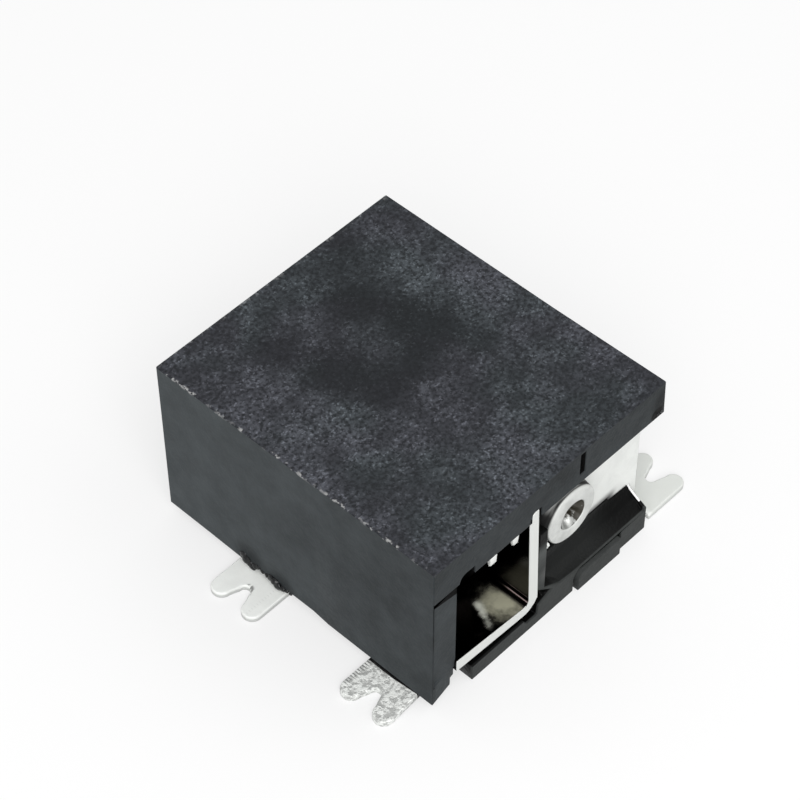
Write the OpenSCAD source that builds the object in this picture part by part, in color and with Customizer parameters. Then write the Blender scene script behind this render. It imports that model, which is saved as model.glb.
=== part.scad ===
// Surface-mount barrel jack: a moulded housing snapped over a contact carrier, a riveted centre
// pin, and stamped contacts that end in forked solder tails.
// Millimetres. Z = 0 is the board, the origin lies under the middle of the housing.
// -Y is the plug mouth, +X the side of the sleeve spring, +Z up.

/* [Housing] */
// Width of the housing across the board
body_w = 11; // [10.8:0.1:13]
// Length of the housing from the plug mouth to the rear
body_l = 12.5; // [12.3:0.1:15]
// Height of the housing above its own lower edge
body_h = 7; // [6.9:0.1:8]
// Gap between the board and the lower edge of the housing
stand_off = 0.45; // [0.42:0.01:0.55]
// Thickness of the side wall beside the sleeve spring
side_t = 1.22; // [1:0.01:1.25]
// Thickness of the wall between the mouth and the spring compartment
front_t = 2.65; // [2:0.05:2.9]
// Radius of the moulded upright corners
corner_r = 0.05; // [0.03:0.01:0.3]

/* [Plug bore] */
// Bore that takes the plug barrel
bore_d = 6; // [5.8:0.05:6.2]
// Plug axis from the middle of the housing, towards the sleeve spring
bore_x = -1.6; // [-1.65:0.01:-1.5]
// Drop of the plug axis below the middle of the housing's height
bore_drop = 0.2; // [0.1:0.01:0.25]
// Width of the lead-in chamfer at the mouth
lead_in = 0.25; // [0.1:0.05:0.4]
// Outer diameter of the plug barrel
plug_d = 5.5; // [5.3:0.05:5.6]

/* [Rear compartments] */
// Height of the compartments' ceiling above the plug axis
bay_up = 2.05; // [2:0.01:2.3]
// Distance from the rear face to the end wall of the bore
contact_bay = 2.3; // [2:0.05:2.6]
// Depth of the recess that the pin terminal lies in
terminal_bay = 1.24; // [1.1:0.01:1.35]
// Height of the groove in the ceiling beside the side wall
groove_h = 0.38; // [0.2:0.01:0.6]
// Width of the groove in the ceiling
groove_w = 0.7; // [0.5:0.05:1]
// Radius of the groove's upper corner
groove_r = 0.3; // [0.1:0.05:0.4]
// How far the roof stands out past the rear post
post_set_back = 0.12; // [0.05:0.01:0.2]
// Skin left at the outer edge of the post
post_skin = 0.06; // [0.04:0.01:0.2]
// Height of the slot between the roof's edge and the post
slot_h = 0.2; // [0.1:0.01:0.25]
// Depth of that slot
slot_deep = 0.4; // [0.2:0.05:0.6]
// Height of the foot at the bottom of the post
foot_h = 0.9; // [0.5:0.05:1]
// How far the inner end of the foot is set back
foot_back = 0.2; // [0.14:0.01:0.3]
// Width and height of the step in the foot's inner corner
foot_step = 0.18; // [0.1:0.01:0.25]

/* [Roof edge marks] */
// Width of the moulded slit in the rear edge of the roof
slit_w = 0.17; // [0.1:0.01:0.25]
// Height of the slit
slit_h = 0.81; // [0.5:0.01:0.9]
// Distance from the top face down to the slit
slit_down = 0.27; // [0.15:0.01:0.4]
// Depth of the slit
slit_deep = 0.5; // [0.2:0.05:0.8]

/* [Centre pin] */
// Diameter of the centre pin
pin_d = 2; // [1.6:0.05:2.1]
// How far the pin tip sits behind the mouth
pin_recess = 1.2; // [0.8:0.05:2]
// Diameter of the shoulder that seats on the end wall
shoulder_d = 3; // [2.6:0.05:3.1]
// Thickness of the shoulder
shoulder_t = 0.5; // [0.3:0.05:0.7]
// Diameter of the shank through wall and terminal
shank_d = 1.8; // [1.75:0.05:1.9]
// Outer diameter of the riveted rim
rim_d = 2.4; // [2.3:0.05:2.7]
// Thickness of the riveted rim
rim_t = 0.45; // [0.3:0.01:0.5]
// Diameter of the hollow in the riveted end
hollow_d = 1.2; // [1:0.05:1.35]
// Depth of that hollow
hollow_deep = 2.2; // [1.5:0.05:2.8]

/* [Stamped contacts] */
// Thickness of the contact sheet
sheet_t = 0.4; // [0.3:0.01:0.4]
// Inner radius of the tight bends
bend_r = 0.15; // [0.12:0.01:0.2]
// Inner radius of the bend at the bottom of the sleeve contact
leg_bend_r = 0.3; // [0.2:0.01:0.4]
// Thickness of the solder tails, which are coined thinner than the sheet
tail_t = 0.25; // [0.2:0.01:0.28]
// Width of the forked solder tails
fork_w = 2.25; // [2:0.05:2.5]
// Reach of the solder tails past the housing
fork_reach = 1.57; // [1.4:0.01:2]
// Width of the notch in a fork at its round root
fork_notch_w = 0.42; // [0.35:0.01:0.5]
// Width of the notch between the tips of the prongs
fork_mouth_w = 0.7; // [0.6:0.05:0.8]
// Depth of the notch in a fork
fork_notch_d = 0.95; // [0.7:0.05:1.2]
// Middle of the front tails, measured from the mouth
front_tail_y = 4.56; // [4.5:0.01:5.2]
// Middle of the sleeve tail, measured from the rear face
sleeve_tail_y = 1.8; // [1.75:0.01:1.9]
// Height of the underside of the sleeve contact's floor above the board
floor_z = 0.9; // [0.8:0.01:1.1]
// Distance from the plug axis to the upright leg of the sleeve contact
leg_off = 2.03; // [1.9:0.01:2.08]
// Length of the leg's top that enters the roof
leg_root = 0.45; // [0.3:0.05:0.7]

/* [Sleeve spring] */
// Width of the spring blade
blade_w = 2.2; // [1.8:0.05:2.4]
// How far the contact bump reaches into the plug's path
preload = 0.25; // [0.1:0.01:0.35]
// Height of the contact bump over the blade
bump_h = 0.55; // [0.4:0.05:0.6]
// Distance of the bump behind the front tails
bump_back = 1.6; // [1.2:0.1:2]
// Length of the contact bump
bump_l = 2; // [1.6:0.1:2.4]
// How far the tip is flared away from the plug
tip_out = 1.25; // [1.1:0.05:1.4]

/* [Pin terminal] */
// How far the strip's lower edge lies below the pin axis
strip_low = 1.85; // [1.6:0.01:1.9]
// Radius of the eye around the rivet
eye_r = 1.5; // [1.35:0.05:1.5]
// Height of the strip that leads out of the housing
strip_h = 3.3; // [2.9:0.05:3.4]
// How far the strip reaches past the housing
strip_out = 0.17; // [0.1:0.01:0.3]
// Width of the strip's leg that goes down to the board
strip_leg_w = 1.5; // [1:0.05:2]
// Inner radius of the bend into the solder tail
tail_bend_r = 0.3; // [0.2:0.01:0.4]
// Width of the solder tail
tail_w = 2.12; // [2:0.01:2.3]
// Reach of the solder tail past the housing
tail_reach = 2.24; // [1.9:0.01:2.4]
// How far the rear edge of the tail lies inside the rear face
tail_inset = 0.08; // [0:0.01:0.1]
// How far the rear edge steps in at the root of the tail
neck_step = 0.3; // [0.1:0.01:0.35]

/* [Contact carrier] */
// Gap between the carrier's end and the sleeve contact's foot
end_gap = 0.38; // [0.2:0.01:0.5]
// How far the bar under the sleeve contact runs past the plate
bar_out = 0.6; // [0.3:0.05:1]
// Depth of that bar's free end
bar_deep = 0.5; // [0.4:0.05:0.7]
// How far the carrier's open end lies inside the housing's side
open_inset = 0.25; // [0.2:0.01:0.3]
// Height of the bar below the sleeve contact
bar_h = 0.73; // [0.6:0.01:0.78]
// Height of the ledge below the rivet
ledge_h = 1; // [0.8:0.05:1.1]
// Radius of the hollow ramp between the ledge and the terminal
ramp_r = 1.5; // [1:0.1:3]
// Thickness of the lip at the open end of the ramp
end_lip_t = 0.12; // [0.08:0.01:0.2]
// Height of that lip over the ledge
end_lip_h = 0.2; // [0.1:0.01:0.25]
// Height of the rib beside the upright leg above the plug axis
rib_up = 1; // [0.6:0.05:1.4]
// Diameter of the posts that hold the carrier in the housing
post_d = 1; // [0.8:0.05:1.1]
// Height of those posts
post_h = 0.9; // [0.6:0.05:1.1]
// Width of the raised tab on the rear face
tab_w = 2.2; // [1.6:0.1:2.6]
// Height of the raised tab
tab_h = 0.86; // [0.6:0.01:0.9]
// How far the tab stands out
tab_t = 0.12; // [0.08:0.01:0.2]
// Radius of the tab's corner next to the rib
tab_r = 0.33; // [0.2:0.01:0.4]
// Width and depth of the groove round the tab
tab_groove = 0.13; // [0.08:0.01:0.16]

/* [Fits] */
// Clearance where metal passes through plastic
fit = 0.02; // [0.01:0.01:0.03]
// Clearance beside contact feet and under the housing
ease = 0.05; // [0.03:0.01:0.06]

/* [Hidden] */
$fn = 48;
over = 1;                                     // how far cutters run past a face
front_y = -body_l / 2;
rear_y = body_l / 2;
side_x = body_w / 2;
top_z = stand_off + body_h;
bore_z = stand_off + body_h / 2 - bore_drop;  // plug axis above the board
ceiling_z = bore_z + bay_up;
inner_x = side_x - side_t;                    // inner face of the sleeve-side wall
wall_y = rear_y - contact_bay;                // end wall of the bore
plate_y = rear_y - terminal_bay;              // front face of the pin terminal
plate_back_y = plate_y + sheet_t;
bay_y = front_y + front_t;                    // front end of the spring compartment
leg_x = bore_x + leg_off;                     // bore side of the upright leg
bay_x = leg_x + 0.7 * (bore_d - 2 * leg_off) / 2;
foot_x = inner_x - ease;                      // outer face of the contact feet
foot_bend = bend_r + sheet_t;                 // outer radius of the tight bends
fork_y = front_y + front_tail_y;
sleeve_fork_y = rear_y - sleeve_tail_y;
leg_top_z = ceiling_z + leg_root;
leg_bend = leg_bend_r + sheet_t;

// Sleeve spring, seen from above
contact_x = bore_x + plug_d / 2 - preload;    // face of the bump that meets the plug
blade_x = contact_x + bump_h;                 // bore side of the straight blade
tip_x = contact_x + tip_out;                  // bore side of the flared tip
tip_l = 0.7;                                  // length of the straight tip
tip_y = bay_y + 0.15;                         // front end of the blade
bump_y = fork_y + bump_back;                  // middle of the bump
step_y = wall_y - 0.45;                       // where the blade leaves the leg's plane
blade_z = bore_z - blade_w / 2;

// Switch contact
arm_z = ceiling_z - fit - sheet_t;            // underside of the arm below the ceiling
finger_x = tip_x - fit;                       // spring side of the finger
tongue_w = 1.4;                               // width of the tongue to the rear
tongue_x = leg_x + 2 * sheet_t + 0.15;        // side of the tongue next to the upright leg
tongue_end_y = rear_y - 0.08;
tooth_w = 0.34;                               // teeth turned down at the tongue's end
tooth_h = 0.25;
tooth_l = 0.4;                                // length of the prongs that carry the teeth

// Anchor tab on the bore side
anchor_x = side_x - 0.6;                      // outer face of its upright
anchor_h = 1.15;                              // height of the upright over the housing's edge
anchor_in = anchor_x - sheet_t;

// Pin terminal
strip_z = bore_z - strip_low;                 // lower edge of the strip
strip_x = side_x + strip_out;                 // outer edge of the strip
strip_leg_x = strip_x - strip_leg_w;          // inner edge of the strip's leg
leg_in_x = side_x - open_inset + ease;        // inner edge of the part that goes down
tail_bend = tail_bend_r + sheet_t;
neck_x = strip_x - ease;                      // where the tail has its full width

// Carrier
carrier_l = foot_x - sheet_t - end_gap;       // end beside the sleeve foot
carrier_r = -(side_x - open_inset);           // open end
carrier_y = front_y + 0.65;                   // front edge of the carrier
rib_x = leg_x - sheet_t;                      // outer side of the rib beside the leg
end_lip_y = terminal_bay - 0.25;              // where the end lip starts to slope
key_h = 0.5;                                  // height of the key in the spring compartment
seat_w = 1;                                   // width of the seat below the sleeve contact

// Quarter ring from the +X axis round to the +Y axis
module quarter_ring(r_in, r_out) {
    intersection() {
        difference() {
            circle(r_out);
            circle(r_in);
        }
        square(r_out);
    }
}

// Lays a flat XZ outline along Y, from y0 to y1
module along_y(y0, y1) {
    translate([0, y1, 0]) rotate([90, 0, 0]) linear_extrude(y1 - y0) children();
}

// Round bar along Y, from y0 to y1, on the plug axis
module on_axis(y0, y1, d) {
    translate([bore_x, y1, bore_z]) rotate([90, 0, 0]) cylinder(h = y1 - y0, d = d);
}

// Box between two corners
module span(a, b) {
    translate(a) cube(b - a);
}

// Rectangle with four round corners
module round_rect(w, l, r) {
    union() {
        square([w - 2 * r, l], center = true);
        square([w, l - 2 * r], center = true);
        for (x = [-1, 1], y = [-1, 1])
            translate([x * (w / 2 - r), y * (l / 2 - r)]) circle(r);
    }
}

// Flat solder tail that runs out along +X to x = reach, with a notch between two round prongs
module fork_outline(x0, reach, w) {
    prong = (w - fork_mouth_w) / 2;
    root_x = reach - fork_notch_d + fork_notch_w / 2;
    difference() {
        union() {
            translate([x0, -w / 2]) square([reach - prong / 2 - x0, w]);
            for (s = [-1, 1])
                translate([reach - prong / 2, s * (w - prong) / 2]) circle(d = prong);
        }
        translate([root_x, 0]) circle(d = fork_notch_w);
        polygon([[root_x, -fork_notch_w / 2], [reach - prong / 2, -fork_mouth_w / 2],
                 [reach + over, -fork_mouth_w / 2], [reach + over, fork_mouth_w / 2],
                 [reach - prong / 2, fork_mouth_w / 2], [root_x, fork_notch_w / 2]]);
    }
}

// Foot of a contact: comes down with its outer face at x, bends and runs out to the fork's root
module foot_profile(x, z_top) {
    translate([x + bend_r, foot_bend]) rotate(180) quarter_ring(bend_r, foot_bend);
    translate([x - sheet_t, foot_bend]) square([sheet_t, z_top - foot_bend]);
}

// One complete tail on the +X side, upright face at x, centred on y
module tail(x, y, z_top) {
    along_y(y - fork_w / 2, y + fork_w / 2) foot_profile(x, z_top);
    translate([0, y, 0]) linear_extrude(tail_t)
        fork_outline(x + bend_r - fit, side_x + fork_reach, fork_w);
}

// Sheet of thickness t along the points p, laid to the left of their direction
function unit(v) = v / norm(v);
function left_of(p, i, t) =
    let(a = i > 0 ? unit(p[i] - p[i - 1]) : unit(p[1] - p[0]),
        b = i < len(p) - 1 ? unit(p[i + 1] - p[i]) : a,
        m = unit(a + b))
    p[i] + [-m.y, m.x] * t / (m * a);
module sheet_strip(p, t) {
    polygon(concat(p, [for (i = [len(p) - 1:-1:0]) left_of(p, i, t)]));
}

// Plug bore with its lead-in
module plug_bore() {
    on_axis(front_y - over, wall_y, bore_d);
    translate([bore_x, front_y - fit, bore_z]) rotate([-90, 0, 0])
        cylinder(h = lead_in + fit, d1 = bore_d + 2 * (lead_in + fit), d2 = bore_d);
}

// Spring compartment, rear contact bay and the groove and slot in its ceiling
module contact_bays() {
    span([bay_x, bay_y, stand_off - over], [inner_x, wall_y + fit, ceiling_z]);
    span([leg_x - ease, wall_y, stand_off - over], [inner_x, rear_y + over, ceiling_z]);
    along_y(wall_y, rear_y + over) translate([inner_x - groove_w, ceiling_z - groove_r])
        union() {
            square([groove_w, groove_h]);
            square([groove_w - groove_r, groove_h + groove_r]);
            translate([groove_w - groove_r, groove_h]) circle(groove_r);
        }
    span([leg_x - fit, wall_y + fit, ceiling_z - over],
         [leg_x + sheet_t + fit, rear_y + over, leg_top_z + fit]);
}

// Recess for the pin terminal, open to the rear and to the side
module terminal_recess() {
    span([-side_x - over, plate_y, stand_off - over], [leg_x - sheet_t, rear_y + over, ceiling_z]);
    span([leg_x - sheet_t - fit, plate_y, stand_off - over], [leg_x, rear_y + over, ceiling_z]);
    on_axis(wall_y - fit, plate_y + fit, shank_d + 2 * fit);
}

// Set-back face of the rear post, the slot above it and the foot that slopes away inwards
module post_cuts() {
    foot_z = stand_off + foot_h;
    span([inner_x - fit, rear_y - post_set_back, foot_z],
         [side_x - post_skin, rear_y + over, ceiling_z - ease]);
    span([inner_x - fit, rear_y - slot_deep, ceiling_z - slot_h * 2 / 3],
         [side_x - post_skin / 2, rear_y + over, ceiling_z + slot_h / 3]);
    translate([0, 0, stand_off - over]) linear_extrude(foot_h + over)
        polygon([[side_x, rear_y], [inner_x - fit, rear_y - foot_back],
                 [inner_x - fit, rear_y + over], [side_x, rear_y + over]]);
    span([inner_x - fit, rear_y - contact_bay / 4, stand_off - over],
         [inner_x + foot_step, rear_y + over, stand_off + 2 * foot_step]);
}

// Narrow slit in the rear edge of the roof
module roof_slit() {
    span([bore_x - slit_w / 2, rear_y - slit_deep, top_z - slit_down - slit_h],
         [bore_x + slit_w / 2, rear_y + over, top_z - slit_down]);
}

// Places of the posts that hold the carrier
module at_posts() {
    for (p = [[inner_x - post_d, bay_y - front_t / 2],
              [-side_x + 1.1, bay_y - front_t / 2],
              [-side_x + 1.1, (wall_y + plate_y) / 2]])
        translate([p.x, p.y, 0]) children();
}

module housing() {
    color("#26282b")
    difference() {
        translate([0, 0, stand_off]) linear_extrude(body_h) round_rect(body_w, body_l, corner_r);
        plug_bore();
        contact_bays();
        terminal_recess();
        post_cuts();
        roof_slit();
        at_posts() translate([0, 0, stand_off - over])
            cylinder(h = over + post_h + ease, d = post_d + 2 * fit);
        span([-anchor_x - ease, fork_y - fork_w / 2 - fit, stand_off - over],
             [-anchor_in, fork_y + fork_w / 2 + fit, stand_off + anchor_h + fit]);
    }
}

// Rear wall of the carrier: bar, cut-out round the contact's bend, rib and ledge
module carrier_rear_outline() {
    bend_z = floor_z + leg_bend;
    polygon([[carrier_r, 0], [carrier_l, 0], [carrier_l, bar_h],
             [leg_x + leg_bend - ease, bar_h], [leg_x + sheet_t, bar_h / 2],
             [leg_x - ease, bar_h / 2], [leg_x - 2 * ease, floor_z],
             [rib_x - sheet_t, floor_z + leg_bend_r], [leg_x - fit, bend_z + 0.2],
             [leg_x - fit, bore_z + rib_up], [rib_x, bore_z + rib_up], [rib_x, bend_z],
             [(rib_x + bore_x) / 2, ledge_h + 0.13], [bore_x, ledge_h],
             [carrier_r, ledge_h]]);
}

// Concave ramp from the ledge up to the pin terminal
module ramp_outline() {
    a = [sheet_t, strip_z - ease];
    b = [terminal_bay, ledge_h];
    up = [a.y - b.y, b.x - a.x] / norm(b - a);
    difference() {
        square([terminal_bay, a.y]);
        translate((a + b) / 2 + up * sqrt(ramp_r ^ 2 - (norm(b - a) / 2) ^ 2)) circle(ramp_r);
    }
}

// Lip that closes the open end of the ramp
module end_lip_outline() {
    top = ledge_h + end_lip_h;
    polygon([[sheet_t, 0], [terminal_bay, 0], [terminal_bay, top - ease], [end_lip_y, top],
             [sheet_t, strip_z - 4 * ease]]);
}

// Outline of the raised tab, larger by grow on every side
module tab_outline(grow) {
    r = tab_r + grow;
    translate([bore_x - tab_w - grow, -grow]) union() {
        square([tab_w + 2 * grow, tab_h + 2 * grow - r]);
        square([tab_w + 2 * grow - r, tab_h + 2 * grow]);
        translate([tab_w + 2 * grow - r, tab_h + 2 * grow - r]) circle(r);
    }
}

module carrier() {
    color("#303336") {
        difference() {
            union() {
                span([carrier_r, carrier_y, 0], [carrier_l, rear_y, stand_off]);
                along_y(plate_y, rear_y) carrier_rear_outline();
                translate([carrier_r, plate_y, 0]) rotate([90, 0, 90]) {
                    linear_extrude(rib_x - carrier_r) ramp_outline();
                    linear_extrude(end_lip_t) end_lip_outline();
                }
                at_posts() translate([0, 0, stand_off - fit]) cylinder(h = post_h + fit, d = post_d);
                span([bay_x + ease, bay_y + ease, stand_off - fit],
                     [carrier_l - bar_out, sleeve_fork_y - fork_w / 2 - 8 * ease, stand_off + key_h]);
                span([leg_x + leg_bend, wall_y + ease, stand_off - fit],
                     [carrier_l - bar_out, wall_y + ease + seat_w, floor_z]);
            }
            span([carrier_r - over, fork_y - fork_w / 2 - ease, -over],
                 [-anchor_in + ease, fork_y + fork_w / 2 + ease, stand_off + over]);
            span([carrier_r - over, plate_y - over, stand_off],
                 [-strip_leg_x + fit, plate_back_y + fit, ceiling_z]);
            span([carrier_l - bar_out, carrier_y - over, -over],
                 [carrier_l + over, rear_y - bar_deep, bar_h + over]);
            along_y(rear_y - tab_groove, rear_y + over) tab_outline(tab_groove);
        }
        along_y(rear_y - tab_groove - fit, rear_y + tab_t) tab_outline(0);
    }
}

module center_pin() {
    tip = front_y + pin_recess;
    seat = wall_y - shoulder_t;
    color("#c9c6bd")
    difference() {
        union() {
            translate([bore_x, seat, bore_z]) rotate([90, 0, 0]) rotate_extrude()
                polygon(concat([[0, 0], [pin_d / 2, 0]],
                    [for (a = [0:10:90]) [pin_d / 2 * cos(a) ^ 0.6,
                        seat - tip - pin_d / 2 + pin_d / 2 * sin(a)]]));
            on_axis(seat, wall_y, shoulder_d);
            on_axis(wall_y - fit, plate_back_y + fit, shank_d);
            on_axis(plate_back_y, plate_back_y + rim_t, rim_d);
        }
        on_axis(plate_back_y + rim_t - hollow_deep, plate_back_y + rim_t + over, hollow_d);
    }
}

// Plate of the pin terminal: eye, strip and the part that goes down beside the carrier
module terminal_plate() {
    difference() {
        union() {
            translate([bore_x, bore_z]) circle(eye_r);
            translate([-strip_x, strip_z]) square([strip_x + bore_x, strip_h]);
            translate([-strip_x, tail_bend]) square([strip_leg_w, strip_z + fit - tail_bend]);
            translate([-leg_in_x, stand_off + fit])
                square([leg_in_x - strip_leg_x, tail_bend - stand_off]);
        }
        translate([bore_x, bore_z]) circle((shank_d + 2 * fit) / 2);
    }
}

module pin_terminal() {
    tail_y = rear_y - tail_inset - tail_w / 2;
    color("#bfc4bd") {
        along_y(plate_y, plate_back_y) terminal_plate();
        translate([-strip_x, plate_y + tail_bend, tail_bend]) rotate([90, 0, 90])
            linear_extrude(strip_x - leg_in_x) rotate(180) quarter_ring(tail_bend_r, tail_bend);
        translate([0, tail_y, 0]) linear_extrude(tail_t) mirror([1, 0, 0]) difference() {
            fork_outline(leg_in_x, side_x + tail_reach, tail_w);
            translate([leg_in_x - over, tail_w / 2 - neck_step])
                square([neck_x - leg_in_x + over, neck_step + over]);
        }
    }
}

// Cross-section of the sleeve contact: floor, bend and upright leg
module sleeve_outline() {
    translate([leg_x + leg_bend, floor_z]) square([foot_x - foot_bend - leg_x - leg_bend, sheet_t]);
    translate([leg_x + leg_bend, floor_z + leg_bend]) rotate(180)
        quarter_ring(leg_bend_r, leg_bend);
    polygon([[leg_x, floor_z + leg_bend], [leg_x + sheet_t, floor_z + leg_bend],
             [leg_x + sheet_t, ceiling_z + leg_root / 2], [leg_x + sheet_t / 2, leg_top_z],
             [leg_x, leg_top_z]]);
}

// Spring blade seen from above: step, straight run, contact bump and flared tip
module blade_outline() {
    bump = [for (u = [1:-0.25:-1])
        [blade_x - bump_h * (1 + cos(180 * u)) / 2, bump_y + u * bump_l / 2]];
    sheet_strip(concat([[leg_x, wall_y + sheet_t], [leg_x, step_y], [blade_x, step_y - 0.6]],
        bump, [[tip_x, tip_y + tip_l], [tip_x, tip_y]]), sheet_t);
}

module sleeve_contact() {
    tail_front = sleeve_fork_y - fork_w / 2;
    tail_back = sleeve_fork_y + fork_w / 2;
    color("#b9b7ae") {
        along_y(wall_y + ease, rear_y) sleeve_outline();
        translate([0, 0, blade_z]) linear_extrude(blade_w) blade_outline();
        span([foot_x - foot_bend - 1.3, tail_front, floor_z],
             [foot_x - foot_bend, wall_y + 2 * ease, floor_z + sheet_t]);
        span([foot_x - foot_bend, tail_back, floor_z], [foot_x, rear_y, floor_z + sheet_t]);
        along_y(tail_front, tail_back)
            translate([foot_x - foot_bend, floor_z + sheet_t - foot_bend])
                quarter_ring(bend_r, foot_bend);
        tail(foot_x, sleeve_fork_y, floor_z + sheet_t - foot_bend);
    }
}

module switch_contact() {
    arm_r = foot_x - foot_bend;
    color("#b9b7ae") {
        tail(foot_x, fork_y, arm_z + sheet_t - foot_bend);
        along_y(fork_y - fork_w / 2, fork_y + fork_w / 2)
            translate([arm_r, arm_z + sheet_t - foot_bend]) quarter_ring(bend_r, foot_bend);
        span([finger_x - sheet_t, tip_y, arm_z], [arm_r, fork_y + fork_w / 2, arm_z + sheet_t]);
        span([finger_x - sheet_t, tip_y, blade_z + 2 * ease], [finger_x, tip_y + tip_l, arm_z + fit]);
        span([tongue_x, fork_y, arm_z],
             [tongue_x + tongue_w, tongue_end_y - tooth_l, arm_z + sheet_t]);
        for (x = [tongue_x, tongue_x + tongue_w - tooth_w]) {
            span([x, tongue_end_y - tooth_l - fit, arm_z], [x + tooth_w, tongue_end_y, arm_z + sheet_t]);
            span([x, tongue_end_y - sheet_t / 2, arm_z - tooth_h], [x + tooth_w, tongue_end_y, arm_z + fit]);
        }
    }
}

module anchor_tab() {
    color("#b9b7ae") mirror([1, 0, 0]) tail(anchor_x, fork_y, stand_off + anchor_h);
}

housing();
carrier();
center_pin();
pin_terminal();
sleeve_contact();
switch_contact();
anchor_tab();
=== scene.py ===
# %% [markdown]
# # A surface-mount barrel jack
#
# The jack is a small power socket that is soldered flat on a circuit board. A black moulded
# housing is snapped over a contact carrier. Inside are a turned pin and stamped, tin-plated
# contacts, and each contact ends in a forked solder tail.
#
# The frame loaded below holds the exact solids of every part, in metres, with Z = 0 on the
# board. This script gives them their looks: rounded moulded edges, burrs, flash, plating, light.

# %% Load the frame
import math

import bmesh
import bpy
from mathutils import Matrix, Vector, noise


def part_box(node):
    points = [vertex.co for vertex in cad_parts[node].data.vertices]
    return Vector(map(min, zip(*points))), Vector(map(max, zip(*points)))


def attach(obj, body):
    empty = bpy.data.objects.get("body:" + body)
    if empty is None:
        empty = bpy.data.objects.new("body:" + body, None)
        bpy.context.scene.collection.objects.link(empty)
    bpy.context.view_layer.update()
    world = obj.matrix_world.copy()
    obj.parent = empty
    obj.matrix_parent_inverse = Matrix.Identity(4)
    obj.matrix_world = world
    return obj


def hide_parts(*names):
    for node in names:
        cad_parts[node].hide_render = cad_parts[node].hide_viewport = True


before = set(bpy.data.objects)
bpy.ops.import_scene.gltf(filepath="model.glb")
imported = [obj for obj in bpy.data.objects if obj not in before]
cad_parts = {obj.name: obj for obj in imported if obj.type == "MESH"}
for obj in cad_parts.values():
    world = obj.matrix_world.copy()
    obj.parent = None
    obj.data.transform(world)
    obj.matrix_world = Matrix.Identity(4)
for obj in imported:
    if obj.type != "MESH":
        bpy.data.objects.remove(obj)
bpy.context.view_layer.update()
MM = 0.001
print("nodes:", ", ".join(sorted(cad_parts)))

# %% [markdown]
# ## Camera
#
# A narrow lens from some distance keeps the long edges of a small part nearly parallel, as in
# product pictures. The camera looks down on the rear and on the side with the sleeve spring.
# It is placed by an azimuth, an elevation and a distance from one point near the middle of the
# jack, which is easier to reason about than a position.

# %% Camera
view_azimuth = math.radians(133.487)
view_elevation = math.radians(49.106)
view_distance = 92 * MM
focal_length = 121.7
look_at = Vector((-0.95, -1.32, 4.32)) * MM
towards_camera = Vector((math.sin(view_azimuth) * math.cos(view_elevation),
                         -math.cos(view_azimuth) * math.cos(view_elevation),
                         math.sin(view_elevation)))
camera_data = bpy.data.cameras.new("camera")
camera_data.sensor_width = 36
camera_data.lens = focal_length
camera_data.clip_start = 1 * MM
camera = bpy.data.objects.new("camera", camera_data)
camera.location = look_at + towards_camera * view_distance
camera.rotation_euler = towards_camera.to_track_quat("Z", "Y").to_euler()
bpy.context.scene.collection.objects.link(camera)
bpy.context.scene.camera = camera
print("camera at", [round(v / MM, 1) for v in camera.location], "mm")

# %% [markdown]
# ## Light
#
# The part stands in a white room that lights it evenly from all round. One wide softbox
# high on the camera's side adds the main light, and a second, weaker one behind gives the
# plated metal an edge to reflect. A lamp's watts spread over the square of its distance,
# so the numbers look tiny at this scale. Together they light a level surface about as
# brightly as its colour is written.

# %% World and lamps
scene = bpy.context.scene
scene.view_settings.view_transform = "Standard"
world = bpy.data.worlds.new("white room")
world.use_nodes = True
scene.world = world
room = world.node_tree.nodes["Background"]
room.inputs["Color"].default_value = (1.0, 1.0, 1.0, 1.0)
room.inputs["Strength"].default_value = 0.66


def soft_lamp(name, azimuth, elevation, distance, size, share):
    """A square lamp aimed at the jack; share 1 would light a level white sheet fully."""
    lamp_data = bpy.data.lights.new(name, "AREA")
    lamp_data.size = size * MM
    lamp = bpy.data.objects.new(name, lamp_data)
    turn, rise = math.radians(azimuth), math.radians(elevation)
    towards = Vector((math.sin(turn) * math.cos(rise), -math.cos(turn) * math.cos(rise),
                      math.sin(rise)))
    lamp.location = towards * distance * MM
    lamp.rotation_euler = towards.to_track_quat("Z", "Y").to_euler()
    lamp_data.energy = share * (math.pi * distance * MM) ** 2 / math.sin(rise)
    scene.collection.objects.link(lamp)
    return lamp


key = soft_lamp("key softbox", 138, 44, 200, 140, 0.42)
rim = soft_lamp("rear softbox", 215, 55, 200, 120, 0.1)
print("lamps:", key.name, "and", rim.name)

# %% [markdown]
# ## Node helper
#
# A finish is a small sum: grain times one number plus wear times another. Written with node
# calls it is unreadable, so a Wire wraps a socket and lets Python's operators add the Math
# nodes, and a Finish holds one material and one method that adds any other node.

# %% Wires and finishes
class Wire:
    """The output socket of a node; arithmetic on it adds Math nodes."""

    def __init__(self, finish, socket):
        self.finish = finish
        self.socket = socket

    def maths(self, operation, first, second):
        return self.finish.add("ShaderNodeMath", {"operation": operation}, {0: first, 1: second})

    def __add__(self, other):
        return self.maths("ADD", self, other)

    __radd__ = __add__

    def __mul__(self, other):
        return self.maths("MULTIPLY", self, other)

    __rmul__ = __mul__

    def __sub__(self, other):
        return self.maths("SUBTRACT", self, other)

    def __rsub__(self, other):
        return self.maths("SUBTRACT", other, self)

    def __truediv__(self, other):
        return self.maths("DIVIDE", self, other)

    def __abs__(self):
        return self.maths("ABSOLUTE", self, 0.0)


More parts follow.
